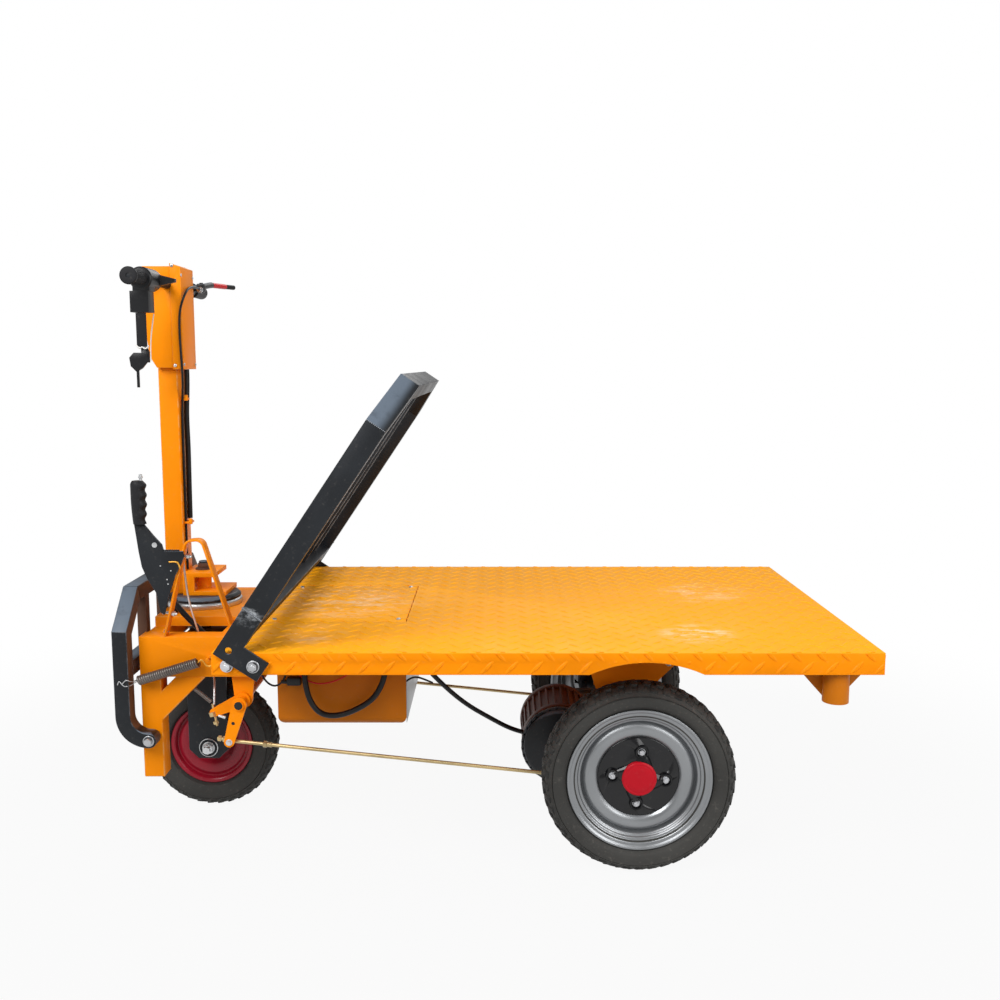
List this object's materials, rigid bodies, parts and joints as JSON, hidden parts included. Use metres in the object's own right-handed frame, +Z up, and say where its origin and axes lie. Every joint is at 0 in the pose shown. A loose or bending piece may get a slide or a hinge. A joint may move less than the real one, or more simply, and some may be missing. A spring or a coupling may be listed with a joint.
{
  "type": "electric flatbed hand cart",
  "caption": "Three-wheeled electric flatbed hand cart with a tread-plate bed, steering post, twist throttle, folding load rack, folding standing pedal and hand brake.",
  "frame": {"origin": "on the floor, under the middle of the whole cart's outline", "axes": "+X along the bed away from the steering post, +Y to the rider's left, +Z up"},
  "size_m": [1.814, 1.042, 1.452],
  "materials": {
    "orange_paint": "gloss powder coat",
    "black_paint": "satin powder coat",
    "silver_paint": "satin silver",
    "red_paint": "gloss dark red",
    "tyre_rubber": "matt",
    "zinc_steel": "zinc plated",
    "yellow_zinc": "yellow zinc plated",
    "motor_paint": "dark brown primer",
    "black_plastic": "moulded",
    "black_rubber": "moulded grip",
    "spring_steel": "oiled spring steel",
    "cable_sheath": "smooth sheath"
  },
  "bodies": {
    "chassis": {"deck_plate": "orange_paint", "battery_lid": "orange_paint", "rails": "orange_paint", "bed_cross_bars": "orange_paint", "front_legs": "orange_paint", "turntable_platform": "orange_paint", "bearing_ring": "zinc_steel", "battery_box": "orange_paint", "battery": "black_plastic", "axle_beam": "black_paint", "axle_hangers": "orange_paint", "gear_case": "black_paint", "motor_body": "motor_paint", "motor_end_cover": "black_paint", "brake_shaft": "orange_paint", "brake_hangers": "orange_paint", "brake_rods": "yellow_zinc", "brake_stand": "orange_paint", "brake_plate": "black_paint", "brake_grip": "black_rubber", "stake_sockets": "orange_paint", "pivot_bolts": "zinc_steel", "battery_lead": "cable_sheath", "motor_lead": "cable_sheath", "frame_harness": "cable_sheath", "hand_brake_cable": "zinc_steel", "pedal_springs": "spring_steel"},
    "steering": {"fork": "black_paint", "steer_axle": "zinc_steel", "turntable_cap": "black_paint", "steering_bracket": "orange_paint", "king_nut": "zinc_steel", "steering_post": "orange_paint", "handlebar": "black_paint", "head_console": "orange_paint", "head_cover": "orange_paint", "throttle_grip": "black_plastic", "left_grip": "black_rubber", "brake_lever": "black_paint", "brake_cable": "cable_sheath", "post_harness": "cable_sheath", "key_strap": "black_rubber", "keys": "black_plastic"},
    "steered_wheel": {"steer_tyre": "tyre_rubber", "steer_rim": "red_paint"},
    "drive_wheel_right": {"drive_tyre_right": "tyre_rubber", "drive_rim_right": "silver_paint", "hub_cover_right": "black_plastic"},
    "drive_wheel_left": {"drive_tyre_left": "tyre_rubber", "drive_rim_left": "silver_paint", "hub_cover_left": "black_plastic"},
    "rack": {"rack_sides": "black_paint", "rack_cross_bars": "black_paint", "rack_inner_bars": "black_paint"},
    "pedal": {"pedal_sides": "black_paint", "pedal_cross_bars": "black_paint", "pedal_inner_bars": "black_paint"}
  },
  "joints": [
    {"name": "steering_turn", "type": "hinge", "parent": "chassis", "child": "steering", "pos_m": [-0.744, 0, 0.577], "axis": [0, 0, 1], "range_deg": [-60, 60]},
    {"name": "steered_wheel_roll", "type": "hinge", "parent": "steering", "child": "steered_wheel", "pos_m": [-0.732, 0, 0.175], "axis": [0, 1, 0], "continuous": true},
    {"name": "right_wheel_roll", "type": "hinge", "parent": "chassis", "child": "drive_wheel_right", "pos_m": [0.378, -0.38, 0.229], "axis": [0, 1, 0], "continuous": true},
    {"name": "left_wheel_roll", "type": "hinge", "parent": "chassis", "child": "drive_wheel_left", "pos_m": [0.378, 0.38, 0.229], "axis": [0, 1, 0], "continuous": true},
    {"name": "rack_fold", "type": "hinge", "parent": "chassis", "child": "rack", "pos_m": [-0.4975, 0, 0.532], "axis": [0, 1, 0], "range_deg": [0, 56.1]},
    {"name": "pedal_fold", "type": "hinge", "parent": "chassis", "child": "pedal", "pos_m": [-0.8, 0, 0.292], "axis": [0, -1, 0], "range_deg": [0, 90], "stiffness_Nm_per_rad": 12, "springref_deg": -28.65, "deforming": ["pedal_springs"]}
  ]
}
